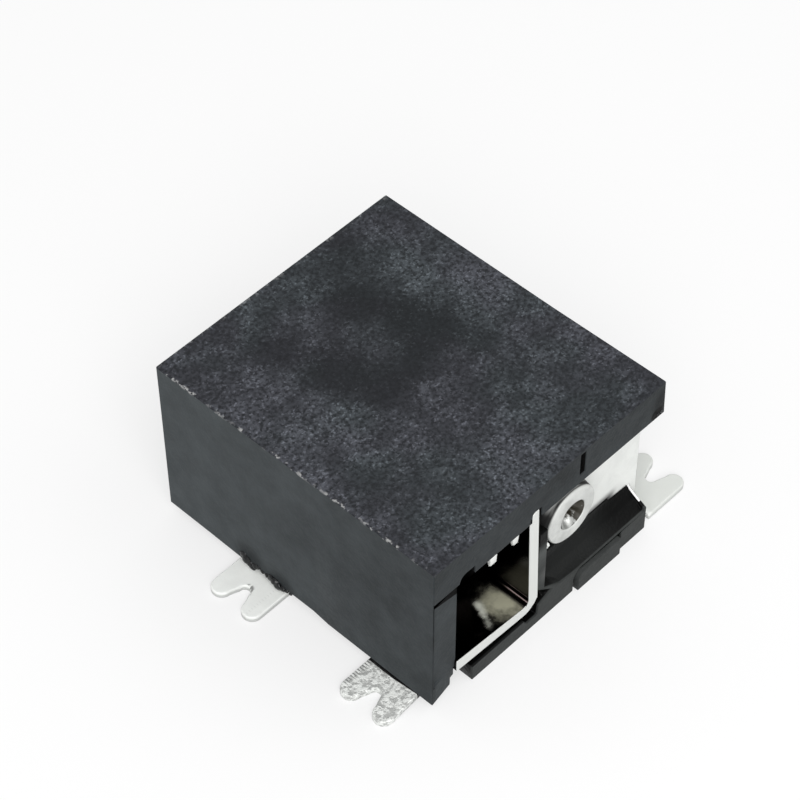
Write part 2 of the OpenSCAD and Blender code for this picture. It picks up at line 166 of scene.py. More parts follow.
class Finish:
    """One material. add() puts in any node and gives back one of its outputs as a Wire."""

    def __init__(self, name, **sockets):
        self.material = bpy.data.materials.new(name)
        self.material.use_nodes = True
        self.nodes = self.material.node_tree.nodes
        self.links = self.material.node_tree.links
        self.shader = self.nodes["Principled BSDF"]
        self.place = self.add("ShaderNodeTexCoord", output="Object")
        self.set(**sockets)

    def feed(self, socket, value):
        if isinstance(value, Wire):
            self.links.new(value.socket, socket)
        else:
            socket.default_value = value

    def add(self, kind, settings=None, sockets=None, output=0):
        node = self.nodes.new(kind)
        for name, value in (settings or {}).items():
            setattr(node, name, value)
        for name, value in (sockets or {}).items():
            self.feed(node.inputs[name], value)
        return Wire(self, node.outputs[output])

    def set(self, **sockets):
        """Sets or links sockets of the shader, with _ for the blank in a socket's name."""
        for name, value in sockets.items():
            self.feed(self.shader.inputs[name.replace("_", " ")], value)

    def grain(self, size, detail=3.0, roughness=0.55, stretch=None):
        """Noise from 0 to 1 whose lumps are about size millimetres across."""
        at = self.place
        if stretch:
            at = self.add("ShaderNodeMapping", {}, {"Vector": at, "Scale": stretch})
        return self.add("ShaderNodeTexNoise", {},
                        {"Vector": at, "Scale": 1 / (size * MM), "Detail": detail,
                         "Roughness": roughness})

    def maths(self, operation, value):
        return self.add("ShaderNodeMath", {"operation": operation}, {0: value})

    def rise(self, value, low, high):
        """0 below low, 1 above high and smooth between; low may be the larger one."""
        return self.add("ShaderNodeMapRange", {"interpolation_type": "SMOOTHSTEP"},
                        {"Value": value, "From Min": low, "From Max": high})

    def near(self, place, reach):
        """1 at a place in millimetres, falling to 0 at reach millimetres from it."""
        gap = self.add("ShaderNodeVectorMath", {"operation": "DISTANCE"},
                       {0: self.place, 1: Vector(place) * MM}, output=1)
        return self.rise(gap, reach * MM, 0.0)

    def mix(self, share, first, second):
        """Colour first where share is 0, second where it is 1."""
        return self.add("ShaderNodeMix", {"data_type": "RGBA"},
                        {"Factor": share, 6: first, 7: second}, output=2)

    def axis(self, name):
        """The X, Y or Z coordinate, in metres."""
        return self.add("ShaderNodeSeparateXYZ", {}, {"Vector": self.place},
                        output="XYZ".index(name))

    def past(self, name, low, high):
        """0 below low millimetres on an axis and 1 above high; low may be the larger one."""
        return self.rise(self.axis(name), low * MM, high * MM)

    def bump(self, height, depth):
        """Feeds a height from 0 to 1 to the normal, depth millimetres deep."""
        self.set(Normal=self.add("ShaderNodeBump", {}, {"Height": height, "Strength": 1.0,
                                                        "Distance": depth * MM}))


def grey(value, tint=(1.0, 1.0, 1.0)):
    """A grey of that brightness, times a tint, as a colour with alpha."""
    return (value * tint[0], value * tint[1], value * tint[2], 1.0)


print("helpers ready: Wire, Finish, grey")

# %% [markdown]
# ## Moulded nylon
#
# The housing is black glass-filled nylon. Its skin is matt, and short fibres just below it
# show as fine pale speckles less than a tenth of a millimetre across. They are crowded in
# some places and missing in others, where the skin came out smooth and darker. The sides
# were drawn past the polished mould wall, so they are even, and their colour is painted a
# little lighter than the top's, as painted light. Scuffed fibres show as pale nicks along the
# long upper edge. Everything inside lies in deep shade and is glossy, so it is painted nearly
# black, as painted shade.
#
# All of it is worked out from the place on the part, so it stays put from any side. Colours
# are greys times a faint tint, and a finish is told where it is by planes of the housing.

# %% Sizes the finishes need
housing_low, housing_high = (Vector(corner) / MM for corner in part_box("housing"))
half_width, rear, top = housing_high
front, under = housing_low.y, housing_low.z
print("housing half width, rear and top in mm:", [round(v, 2) for v in housing_high])

# %% [markdown]
# Noise at four sizes makes the skin: grit, mottles, clouds and a slow drift of hue. Each face
# of the housing then gets its own level, with the sides painted lighter as painted light, and
# walls behind the outer faces are painted nearly black as painted shade.

# %% Nylon finish
violet = (0.94, 0.99, 1.16)
sea = (0.87, 1.0, 1.11)


def nylon(name, roughness, sheen):
    """Black nylon with fine grit, larger mottles and wide clouds; its level is its grey."""
    finish = Finish(name, Specular_IOR_Level=sheen)
    finish.grit = finish.rise(finish.grain(0.13, 2.0, 0.6), 0.3, 0.7)
    finish.mottle = finish.rise(finish.grain(0.8, 4.0, 0.6), 0.3, 0.7)
    finish.cloud = finish.rise(finish.grain(2.6, 2.0), 0.3, 0.7)
    finish.hue = finish.mix(finish.rise(finish.grain(4.0, 2.0), 0.4, 0.6), grey(1.0, violet),
                            grey(1.0, sea))
    finish.set(Roughness=roughness + 0.12 * finish.grit)
    finish.bump(finish.grit, 0.006)
    return finish


def level(finish, value, tint=None):
    """The colour whose grey is the wired value."""
    return finish.mix(value, grey(0.0), tint or finish.hue)


def smooth_patches(finish):
    """1 where the top came out smooth and dark; noise makes the patches ragged."""
    patches = ((1.6, -2.4, 2.1), (1.4, -1.2, 1.8), (2.4, -4.2, 1.6), (1.2, 0.0, 1.5),
               (-0.2, -0.2, 1.6), (-1.5, -0.5, 2.1), (-2.4, -1.3, 2.0), (-1.6, -2.6, 1.8),
               (-1.4, -4.1, 1.6), (-0.7, -3.5, 1.2), (-2.9, 0.8, 0.9), (-2.6, -5.6, 1.5))
    cover = sum(finish.near((x, y, top), reach) for x, y, reach in patches)
    return finish.rise(cover + 1.8 * (finish.grain(0.9, 5.0, 0.68) - 0.5), -0.15, 1.45)


def top_level(finish):
    """Speckles, crowded on both long sides and thin at the far corner, and bare patches."""
    smooth = smooth_patches(finish)
    crowd = (finish.near((4.4, -1.0, top), 4.0) + finish.near((-4.2, -1.4, top), 3.6)
             + finish.near((0.5, 4.9, top), 3.0))
    crowd = finish.rise(0.5 * crowd + 0.8 * finish.mottle + 0.35 * finish.cloud, 0.25, 1.25)
    flecks = finish.rise(finish.grain(0.1, 1.0, 0.5), 0.6, 0.7) * (0.25 + crowd)
    speckled = 0.02 + (0.024 + 0.046 * crowd) * finish.grit + 0.06 * flecks
    bare = 0.015 + 0.008 * finish.grit + 0.015 * flecks
    return speckled + smooth * (bare - speckled)


def near_plane(finish, axis, place, reach):
    """1 on the plane where that axis has that value, falling to 0 at reach from it."""
    return finish.rise(abs(finish.axis(axis) - place * MM), reach * MM, 0.0)


def inside(finish):
    """1 on walls that lie behind the outer faces, which get painted shade, and on a band of
    painted shadow along the top of the post's face; the rest of the post's face and its foot are
    left out.
    """
    post_recess, post_head, head_slope, foot_height = 0.14, 4.6, 0.16, 0.9
    near_skin, below_skin = 0.03, 0.06
    # above_post takes in the top band of the post's face, painted black as the painted shadow of
    # the slot under the roof's lip
    above_post = finish.rise(finish.axis("Z") - head_slope * finish.axis("X"),
                             post_head * MM, (post_head + 0.03) * MM)
    behind = (finish.past("Y", rear - post_recess, rear - post_recess - 0.03)
              + above_post * finish.past("Y", rear - 0.03, rear - 0.05))
    foot = (finish.past("Z", under + foot_height + 0.03, under + foot_height)
            * finish.past("Y", rear - 0.7, rear - 0.6))
    skin = (finish.past("Y", front + near_skin, front + below_skin)
            * finish.past("Z", under + near_skin, under + below_skin)
            * finish.past("Z", top - near_skin, top - below_skin)
            * finish.rise(abs(finish.axis("X")), (half_width - near_skin) * MM,
                          (half_width - below_skin) * MM))
    return finish.rise(behind, 0.0, 1.0) * skin * (1 - foot)


def housing_nylon():
    """Speckled top; even sides, painted lighter as painted light, that darken to the rear;
    painted shade, nearly black, on the walls inside.
    """
    finish = nylon("housing nylon", 0.62, 0.14)
    on_top = finish.past("Z", top - 0.04, top - 0.02)
    along = finish.past("Y", front, rear)
    on_end = finish.past("Y", rear - 0.04, rear - 0.02)
    # the sides' level is painted lighter than the top's, as painted light; it falls towards the
    # rear and a little on the rear end face
    front_level, fall_to_rear, unevenness = 0.078, 0.028, 0.014
    side = (front_level - fall_to_rear * along + unevenness * (finish.cloud - 0.5)
            + unevenness * (finish.mottle - 0.5) - 0.015 * on_end)
    # darkens the sides round the flash lumps on the lower edge and near the roof's free corner
    darker_near_lumps = (finish.near((half_width, -2.2, 0.8), 1.3) + finish.near((half_width, -0.7, 0.6), 1.1)
             + finish.near((-half_width, rear, 6.6), 1.0))
    side = side * (1 - 0.6 * finish.rise(darker_near_lumps, 0.0, 1.0)) + 0.005 * finish.grit
    # painted shade: the side is painted darker round the roof's free corner, where shade falls at
    # the end of the roof
    roof_corner = (-5.28, rear, 6.05)
    side = side * (1 - finish.rise(finish.near(roof_corner, 0.45), 0.1, 0.5))
    finish.colour = finish.mix(on_top, level(finish, side, grey(1.0, (0.87, 0.99, 1.05))),
                               level(finish, top_level(finish)))
    # within marks the walls that get painted shade, nearly black; shade holds that painted shade
    within = inside(finish)
    shade = finish.mix(finish.past("Y", 1.0, 3.0), grey(0.02), grey(0.002))
    finish.colour = finish.mix(within, nicked(finish), shade)
    finish.set(Base_Color=finish.colour, Roughness=0.62 + 0.12 * finish.grit + 0.25 * within)
    return finish


def nicked(finish):
    """Pale nicks along the long upper edge, and a few at its end."""
    long_edge = near_plane(finish, "X", half_width, 0.14) * near_plane(finish, "Z", top, 0.1)
    end_edge = near_plane(finish, "Y", front, 0.15) * near_plane(finish, "Z", top, 0.1)
    chips = finish.rise(finish.grain(0.2, 2.0, 0.6), 0.52, 0.62)
    wear_and_painted_glow = finish.rise(finish.grain(0.9, 2.0), 0.4, 0.55) * 0.75 + 0.25
    wear = finish.rise(long_edge, 0.0, 0.6) * chips * wear_and_painted_glow + 0.3 * end_edge * chips
    return finish.mix(wear, finish.colour, grey(0.34))


housing_skin = housing_nylon()
print("finish:", housing_skin.material.name, "with", len(housing_skin.nodes), "nodes")

# %% [markdown]
# The carrier is moulded from the same nylon in another mould. Its hollow ramp is glossy and
# lies under the roof, so it is painted nearly black as painted shade, most of all at the open
# end, and its upright rear faces are matt and grey. The top of the thin lip that closes the
# open end is painted pale, as a painted highlight.

# %% Carrier finish
def carrier_nylon():
    """Glossy in the ramp, its colour painted nearly black as painted shade; matt and grey on the
    outer rear face.
    """
    ramp_shade_black, ramp_lift, face_grey = 0.002, 0.012, 0.045
    finish = nylon("carrier nylon", 0.5, 0.1)
    outer = finish.past("Y", rear - 0.06, rear - 0.02)
    below_roof_shadow = finish.past("Z", 4.3, 3.6)
    # the ramp's colour is painted nearly black as painted shade under the roof, a little lighter
    # in its middle and darkest at the open end
    ramp = ramp_shade_black + (ramp_lift * finish.past("X", -4.2, -2.4)
                         * finish.past("X", -0.3, -0.6))
    bar_top = finish.past("Z", 0.7, 0.72) * finish.past("X", 0.9, 1.1)
    rear_face = face_grey + 0.008 * (finish.mottle - 0.5) + 0.004 * finish.grit
    # painted shade darkens the top of the rear face under the spring's floor, and a painted
    # highlight lightens the rib's face near its top
    rear_face = rear_face * (1 - 0.8 * bar_top) + 0.06 * finish.near((0.2, rear, 4.1), 1.5)
    colour = level(finish, ramp + outer * (rear_face - ramp), grey(1.0, (0.95, 1.02, 1.0)))
    # above the rib the carrier is painted black, as painted shadow under the roof's lip
    colour = finish.mix(below_roof_shadow, grey(0.004), colour)
    # a pale painted highlight on the rib beside the spring's leg
    rib_painted_glow = finish.near((-0.1, 5.9, 2.4), 0.7) * 0.12
    colour = finish.mix(rib_painted_glow, colour, grey(1.0))
    # lip_glint is a painted highlight: the top of the end lip is painted pale
    lip_glint = (finish.rise(finish.near((-5.2, 5.6, 1.6), 0.62), 0.05, 0.15)
                 * finish.past("X", -5.14, -5.17) * finish.past("X", -5.24, -5.22))
    finish.set(Base_Color=finish.mix(finish.rise(lip_glint, 0.0, 0.3), colour, grey(0.9)),
               Roughness=0.3 + 0.3 * outer)
    return finish


carrier_skin = carrier_nylon()
print("finish:", carrier_skin.material.name)

# %% [markdown]
# ## Tin plate
#
# The contacts are stamped from brass and spring bronze and coated with matt tin. Matt tin
# is made of tiny crystals, so it scatters light almost like white paint and hardly mirrors
# it. Rolling leaves faint streaks, and handling leaves cloudy stains. Cut edges are a little
# darker than the faces.

# %% Tin finish
pearl = (0.98, 1.0, 0.97)


def tin(name, bright, dull, metal=0.25, roughness=0.42):
    """Matt tin between two greys, with streaks from rolling and cloudy stains."""
    finish = Finish(name, Metallic=metal)
    finish.cloud = finish.rise(finish.grain(0.7, 4.0, 0.6), 0.35, 0.7)
    streaks = finish.grain(0.1, 2.0, 0.6, stretch=(0.25, 1.0, 1.0))
    finish.colour = finish.mix(finish.cloud, grey(bright, pearl), grey(dull, pearl))
    finish.set(Base_Color=finish.colour, Roughness=roughness + 0.15 * streaks)
    finish.bump(streaks * 0.5 + finish.cloud * 0.5, 0.008)
    return finish


def cut_edges(finish, shade=0.5, high=0.19, low=0.12):
    """Darkens the sheared edges of the solder tails, below the rounded rim."""
    edge = finish.past("Z", high, low)
    return finish.mix(edge, finish.colour, grey(shade, pearl))


def punch_marks(finish, spacing, low, high):
    """Fine stripes across X; they repeat about every six spacings, which are millimetres."""
    return finish.rise(finish.maths("SINE", finish.axis("X") / (spacing * MM)), low, high)


def terminal_plate():
    """Pale tin, duller outdoors; painted shade behind the end lip, and painted shade,
    black, far inside under the roof.
    """
    finish = tin("terminal tin", 1.0, 0.92, 0.05)
    # painted shade: far inside under the roof the plate is painted black, and behind the
    # carrier's end lip it is painted dark
    far_inside_shade = finish.past("X", -1.2, -0.9)
    shaded_behind_lip = finish.past("Z", 2.3, 1.85) * finish.past("X", -4.7, -4.2)
    outdoors = finish.past("X", -5.6, -5.9)
    coat = finish.mix(shaded_behind_lip, cut_edges(finish, 0.75), grey(0.12))
    dulled = finish.mix(0.8, coat, grey(0.68, (0.97, 1.0, 0.95)))
    coat = finish.mix(outdoors, coat, dulled)
    finish.set(Base_Color=finish.mix(far_inside_shade, coat, grey(0.01)))
    return finish


def switch_plate():
    """Clean tin with a scuff on the fork and faint punch marks beside it."""
    finish = tin("switch tin", 1.0, 0.95, 0.02)
    scuff = finish.near((6.2, -1.65, 0.4), 0.35) + finish.near((6.4, -1.5, 0.4), 0.25)
    scratches = finish.rise(finish.grain(0.11, 1.0, 0.5, stretch=(0.4, 1.0, 1.0)), 0.5, 0.56)
    marks = punch_marks(finish, 0.02, 0.2, 0.9) * near_plane(finish, "Y", -0.95, 0.12) * 0.25
    wear_and_painted_glow = finish.rise(finish.rise(scuff, 0.0, 0.4) * scratches + marks, 0.0, 1.0)
    finish.set(Base_Color=finish.mix(wear_and_painted_glow, cut_edges(finish, 0.7), grey(0.3, pearl)))
    return finish


terminal_tin = terminal_plate()
switch_tin = switch_plate()
anchor_tin = tin("anchor tin", 0.92, 0.75, 0.3)
anchor_tin.set(Base_Color=cut_edges(anchor_tin))
print("finishes: terminal, switch and anchor tin")

# %% [markdown]
# The flat face of the riveted rim is tinned too, and its turned side shows dark tool rings.
# That side is painted pale along its top and nearly black below, as painted light and shade.

# %% Rivet finish
face_y = 5.86
rivet_tin = tin("rivet tin", 0.8, 0.62, 0.3)
rim_side = (rivet_tin.past("Y", face_y - 0.03, face_y - 0.1)
            * rivet_tin.past("Y", 4.9, 5.1))
tool_rings = rivet_tin.rise(rivet_tin.grain(0.16, 1.0, 0.5, stretch=(0.1, 1.0, 0.1)), 0.45, 0.6)
# lit_side is painted light and shade: pale on the top of the turned side, nearly black below
lit_side = rivet_tin.mix(rivet_tin.past("Z", 4.2, 4.6), grey(0.02), grey(0.4, pearl))
ringed_side = rivet_tin.mix(tool_rings, grey(0.01), lit_side)
rivet_tin.set(Base_Color=rivet_tin.mix(rim_side, rivet_tin.colour, ringed_side),
              Metallic=0.3 * (1 - rim_side), Roughness=0.45 + 0.4 * rim_side)
print("finish:", rivet_tin.material.name)

# %% [markdown]
# The sleeve contact is spring bronze. Inside the housing it is polished, and its colour is
# painted nearly black as the painted reflection of the dark compartment. A matt golden patch
# on its floor is painted bright as reflected light, with a painted highlight streak across it.
# Outside, its tail has been dipped in solder and is crusty, grey and pitted.

# %% Spring finish
floor_z = 1.3
# points along the painted highlight streak on the spring's floor
painted_highlight_streak = ((1.96, 4.98), (2.06, 5.17), (2.17, 5.38), (2.26, 5.56), (2.34, 5.72),
                   (2.42, 5.88), (2.5, 6.02))
loose_end_sparks = ((3.4, 5.95, 0.35), (3.0, 6.0, 0.4), (2.6, 5.95, 0.35))


def solder_crust(finish, outside):
    """Grey crust with pits, punch marks on the fork's rim and a painted shadow line at the wall.
    """
    pits = finish.rise(finish.grain(0.19, 2.0, 0.65), 0.4, 0.66) * outside
    crust = finish.mix(pits, grey(1.0, pearl), grey(0.54, pearl))
    rim = near_plane(finish, "Y", 3.4, 0.3) * finish.past("X", 6.9, 6.6)
    crust = finish.mix(punch_marks(finish, 0.018, 0.0, 0.8) * rim, crust, grey(0.25))
    # painted shadow: the tail is painted black where it meets the housing's wall
    wall_shadow_line = finish.past("X", half_width + 0.01, half_width - 0.02)
    return pits, finish.mix(wall_shadow_line, crust, grey(0.005))


def spring_strip():
    """Painted dark reflection inside, with a matt golden floor painted bright as reflected light;
    crusty tail and pale cut end outside.
    """
    finish = Finish("spring strip")
    outside = finish.past("X", half_width - 0.3, half_width - 0.1)
    end = finish.past("Y", rear - 0.05, rear - 0.02) * (1 - outside)
    raggedness = 0.9 * (finish.grain(0.45, 5.0, 0.65) - 0.5)
    floor = finish.past("X", 0.86, 1.1) * (1 - outside)
    # the matt golden patch on the floor, painted bright as reflected light
    wear_and_painted_glow = finish.near((1.4, 5.65, floor_z), 1.45) + 0.35 * finish.near((1.4, 4.9, floor_z), 1.0)
    wear_and_painted_glow = finish.rise(wear_and_painted_glow + 1.1 * raggedness, 0.0, 1.1) * floor
    # gleam is a painted highlight streak on the floor
    gleam = sum(finish.near((x, y, floor_z), 0.4) for x, y in painted_highlight_streak)
    gleam = finish.rise(gleam + 1.2 * raggedness, 0.25, 1.7) * floor
    creases = near_plane(finish, "Z", 1.5, 0.05) + 0.5 * near_plane(finish, "Z", 1.74, 0.04)
    creases = creases * finish.past("X", 1.2, 1.0) * finish.past("Y", 4.9, 5.5)
    sparks = (finish.rise(finish.grain(0.07, 1.0), 0.5, 0.62)
              * sum(finish.near((x, y, floor_z), reach) for x, y, reach in loose_end_sparks))
    # the dark gold is the painted reflection of the dark compartment
    gold = finish.mix(wear_and_painted_glow * wear_and_painted_glow, grey(0.03, (1.0, 0.9, 0.85)), grey(0.6, (0.99, 0.97, 0.72)))
    gold = finish.mix(gleam, gold, grey(1.0, (0.98, 1.0, 0.88)))
    gold = finish.mix(finish.rise(creases + sparks, 0.0, 1.0), gold, (0.5, 0.38, 0.38, 1.0))
    pits, crust = solder_crust(finish, outside)
    colour = finish.mix(end, finish.mix(outside, gold, crust), grey(0.84, pearl))
    matt = outside + end - outside * end
    bare = finish.rise(wear_and_painted_glow + gleam + creases + sparks, 0.0, 1.0) * (1 - matt)
    finish.set(Base_Color=colour, Metallic=1 - 0.8 * matt - 0.75 * bare,
               Roughness=0.12 + 0.38 * matt + 0.35 * bare)
    finish.bump(finish.grain(0.12, 3.0, 0.6) * (0.15 + matt) - pits, 0.02)
    return finish


spring_bronze = spring_strip()
print("finish:", spring_bronze.material.name)

# %% [markdown]
# ## From exact solid to moulded piece
#
# The solids have knife-sharp edges, and nothing that is moulded or stamped has those. Each
# piece is a copy of its solid with the loose triangles merged, flat areas joined into single
# faces, and the sharp edges bevelled by a few hundredths of a millimetre. The bevel is seen
# only as a thin highlight, which tells the eye that a thing is real. Some edges, such as
# the rims of the solder tails, are rounder than the rest, so they are bevelled first.

# %% Dressing a solid
weld = 0.0005 * MM


def joined_copy(node):
    """A bmesh of a node's solid, with one face for each flat area."""
    shape = bmesh.new()
    shape.from_mesh(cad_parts[node].data)
    bmesh.ops.remove_doubles(shape, verts=shape.verts, dist=weld)
    bmesh.ops.dissolve_limit(shape, angle_limit=math.radians(0.6), verts=shape.verts,
                             edges=shape.edges, use_dissolve_boundaries=False)
    return shape


def round_edges(shape, width, segments=2, where=None):
    """Bevels the sharp edges whose middle, in millimetres, where() accepts."""
    sharp = [edge for edge in shape.edges
             if edge.is_manifold and edge.calc_face_angle(0.0) > math.radians(40)
             and (where is None or where(*((edge.verts[0].co + edge.verts[1].co) / (2 * MM))))]
    bmesh.ops.bevel(shape, geom=sharp, offset=width * MM, offset_type="OFFSET",
                    segments=segments, profile=0.5, affect="EDGES", material=-1,
                    clamp_overlap=False)
    return len(sharp)


def make_piece(shape, name, finish, slot, *nodes):
    """Turns a bmesh into a smooth-shaded piece that rides on the jack."""
    mesh = bpy.data.meshes.new(name)
    bmesh.ops.dissolve_degenerate(shape, edges=shape.edges, dist=weld)
    shape.to_mesh(mesh)
    shape.free()
    mesh.materials.append(finish.material)
    mesh.shade_smooth()
    mesh.set_sharp_from_angle(angle=math.radians(38))
    piece = bpy.data.objects.new(name, mesh)
    scene.collection.objects.link(piece)
    flat = piece.modifiers.new("even shading", "WEIGHTED_NORMAL")
    flat.keep_sharp = True
    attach(piece, "root")
    if nodes:
        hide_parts(*nodes)
    print(f"{name}: {len(mesh.polygons)} faces")


# %% [markdown]
# ## Housing and carrier
#
# A moulding is never quite as drawn. Its walls pull in as they cool, a long edge bows, and
# snapping the carrier in springs the free corner of the roof outwards. Moving only the
# corners would crease the walls, so the copy is first cut across where each bend begins and
# at steps along the longest one. The slit in the roof's edge came out wider than drawn.

# %% Housing and carrier
slit_x, slit_wider, slit_deeper = -1.6, 0.1, 0.18
bow = {-2.5: 0.0, -1.8: 0.14, 0.8: 0.17}
flare_from, flare_steps, lip_foot = 1.5, (3.0, 4.5), 5.91
flare_at_top, flare_below = 0.06, 0.08
across_y, across_z = Vector((0, 1, 0)), Vector((0, 0, 1))


def cut_across(shape, facing, place):
    """Adds edges where the plane at that place, in millimetres, crosses the shape."""
    bmesh.ops.bisect_plane(shape, geom=[*shape.verts, *shape.edges, *shape.faces],
                           plane_co=facing * place * MM, plane_no=facing, dist=0.001 * MM)


def warp_housing(shape):
    """Springs the roof's free corner, bows the long lower edge and widens the slit."""
    for vert in shape.verts:
        x, y, z = vert.co / MM
        if x < 0.1 - half_width and y > flare_from and z > 5.5:
            flare = (y - flare_from) / (rear - flare_from)
            vert.co.x -= flare * (flare_at_top + flare_below * (top - z) * flare ** 3) * MM
            if y > 6.2:
                vert.co.y += (0.07 if z > top - 0.1 else 0.03) * MM
        elif y < front + 0.1 and z > top - 0.1:
            vert.co.y -= (0.04 - 0.004 * x) * MM
        elif x > half_width - 0.6 and y < front + 0.6 and z < under + 0.3:
            vert.co.y += 0.04 * MM
        elif x > half_width - 0.02 and z < under + 0.02:
            vert.co.z += sum(lift for cut, lift in bow.items() if abs(y - cut) < 0.1) * MM
        elif abs(x - slit_x) < 0.1 and y > 5.5 and z > 6:
            vert.co.x += (slit_wider if x > slit_x else 0.0) * MM
            vert.co.z += (0.05 if z > 6.8 else -slit_deeper) * MM


def warp_carrier(shape):
    """Lengthens one end of the rear bar, sets its face out and straightens the end lip."""
    bar_end, bar_longer, lip_x, face_out = 3.4, 0.15, -5.1, 0.04
    for vert in shape.verts:
        x, y, z = vert.co / MM
        if x > bar_end and y > 5 and z < 0.8:
            vert.co += Vector((bar_longer, -0.1 if y < 6.1 else face_out, 0.0)) * MM
        elif y > 6.2 and z < 1.3:
            vert.co.y += face_out * MM
        elif x < lip_x and z > 1.7:
            vert.co.z -= 0.08 * MM
        elif x < lip_x and 5.9 < y < 6.1 and z > 1.1:
            vert.co.z += 0.1 * MM


housing_shape = joined_copy("housing")
for place in (*bow, flare_from, *flare_steps):
    cut_across(housing_shape, across_y, place)
cut_across(housing_shape, across_z, lip_foot)
warp_housing(housing_shape)
print(round_edges(housing_shape, 0.025), "edges of the housing rounded")
make_piece(housing_shape, "moulded_housing", housing_skin, "housing_plastic", "housing")

carrier_shape = joined_copy("carrier")
warp_carrier(carrier_shape)
print(round_edges(carrier_shape, 0.025), "edges of the carrier rounded")
make_piece(carrier_shape, "contact_carrier", carrier_skin, "carrier_plastic", "carrier")

# %% [markdown]
# ## Stamped contacts
#
# A punch drags the sheet's upper edge down as it cuts, so the rim of each tail is rolled over
# and the underside is sharp. The rim gets a wide bevel and the rest a narrow one.

# %% Stamped contacts
tail_top = 0.25


def on_rim(x, y, z):
    return abs(x) > half_width - 0.1 and abs(z - tail_top) < 0.02


def on_tooth(x, y, z):
    return y > 5.7 and z < 5.4


def settle(sheet):
    """Leans the spring's upright leg, and lifts the loose end of its floor a little."""
    lean, pivot_z, bend_x, floor_run = 0.04, 2.7, 0.6, 3.66
    upper_lift, lower_lift = 0.37, 0.25
    for vert in sheet.verts:
        x, y, z = vert.co / MM
        if 0.3 < x < 1.2 and y > 3 and z > 0.8:
            wider = 0.02 if x > 0.65 else -0.02
            fray = 0.02 * noise.noise(Vector((x, y, z)) * 6)
            vert.co.x += (lean * (z - pivot_z) + wider + fray) * MM
        if 0.3 < x < 4.5 and y > 5 and z < 1.35:
            share = min(1.0, max(0.0, (x - bend_x) / floor_run))
            vert.co.z += ((upper_lift if z > 1.1 else lower_lift) * share + 0.05) * MM
            vert.co.x += (0.1 if x > 4.2 else 0.0) * MM


def file_teeth(sheet):
    """Shrinks the two teeth under the roof towards their middles."""
    root_z, between_teeth = 5.45, 2.1
    for vert in sheet.verts:
        x, y, z = vert.co / MM
        if y > 5.7 and z < root_z:
            middle, size = (2.61, 0.85) if x > between_teeth else (1.55, 0.62)
            vert.co.x = (middle + (x - middle) * size) * MM
            vert.co.z = (root_z - (root_z - z) * size) * MM


for node, name, finish, slot in (
        ("pin_terminal", "pin_terminal_sheet", terminal_tin, "terminal_metal"),
        ("sleeve_contact", "sleeve_contact_sheet", spring_bronze, "spring_metal"),
        ("switch_contact", "switch_contact_sheet", switch_tin, "switch_metal"),
        ("anchor_tab", "anchor_tab_sheet", anchor_tin, "anchor_metal")):
    sheet = joined_copy(node)
    rims = round_edges(sheet, 0.06, 3, on_rim)
    if node == "sleeve_contact":
        settle(sheet)
    if node == "switch_contact":
        print(round_edges(sheet, 0.12, 3, on_tooth), "tooth edges rounded")
        file_teeth(sheet)
    print(rims, "rim edges and", round_edges(sheet, 0.02), "other edges rounded")
    make_piece(sheet, name, finish, slot, node)

# %% [markdown]
# ## Riveted pin
#
# The pin is turned from rod. Its hollow end is pushed through the terminal and spread with a
# star-shaped punch, which rolls a flat rim over the sheet and folds the throat inwards. The
# rim is never quite round, and the hollow sits a little low in it.

# %% Riveted pin
bore_x, plate_y, bore_z = -1.6, 5.41, 3.75


def roll_rim(shape):
    """Makes the rolled rim uneven and sets it off the pin's axis, the hollow most."""
    uneven, rim_radius, rim_width, rim_length, taper = 0.04, 1.2, 0.55, 0.45, 0.045
    rim_left, rim_drop, hollow_left, hollow_drop = 0.08, 0.15, 0.07, 0.09
    for vert in shape.verts:
        out = Vector((vert.co.x / MM - bore_x, vert.co.z / MM - bore_z))
        if vert.co.y / MM > plate_y and out.length > 0.1:
            wobble = noise.noise(Vector((out.x, out.y, 3.0)) * 1.4)
            hollow = max(0.0, min(1.0, (rim_radius - out.length) / rim_width))
            vert.co.x += out.normalized().x * uneven * wobble * MM
            vert.co.z += (out.normalized().y * uneven * wobble - hollow_drop * hollow) * MM
            spread = max(0.0, vert.co.y / MM - plate_y) / rim_length
            tuck = taper * (1.0 - hollow)
            vert.co.x -= (rim_left + hollow_left * hollow + tuck * out.x) * spread * MM
            vert.co.z -= (rim_drop + tuck * out.y) * spread * MM


pin_shape = joined_copy("center_pin")
print(round_edges(pin_shape, 0.05, 3), "edges of the pin rounded")
roll_rim(pin_shape)
make_piece(pin_shape, "riveted_pin", rivet_tin, "pin_metal", "center_pin")

# %% [markdown]
# The throat is one closed cup. Its floor is a disc, its outer wall and its mouth are rings
# pulled out of that disc's edge, and the last rings shrink inwards into the folded star.

# %% Crimped throat
throat_rings = ((0.1, 0.57, 0.0), (0.0, 0.58, 0.0), (0.05, 0.54, 0.02), (0.15, 0.47, 0.07),
                (0.3, 0.38, 0.13), (0.5, 0.27, 0.16), (0.8, 0.16, 0.1))
cup_radius, cup_depth = 0.56, 0.9
mouth = Vector((bore_x - 0.15, plate_y + 0.42, bore_z - 0.24))


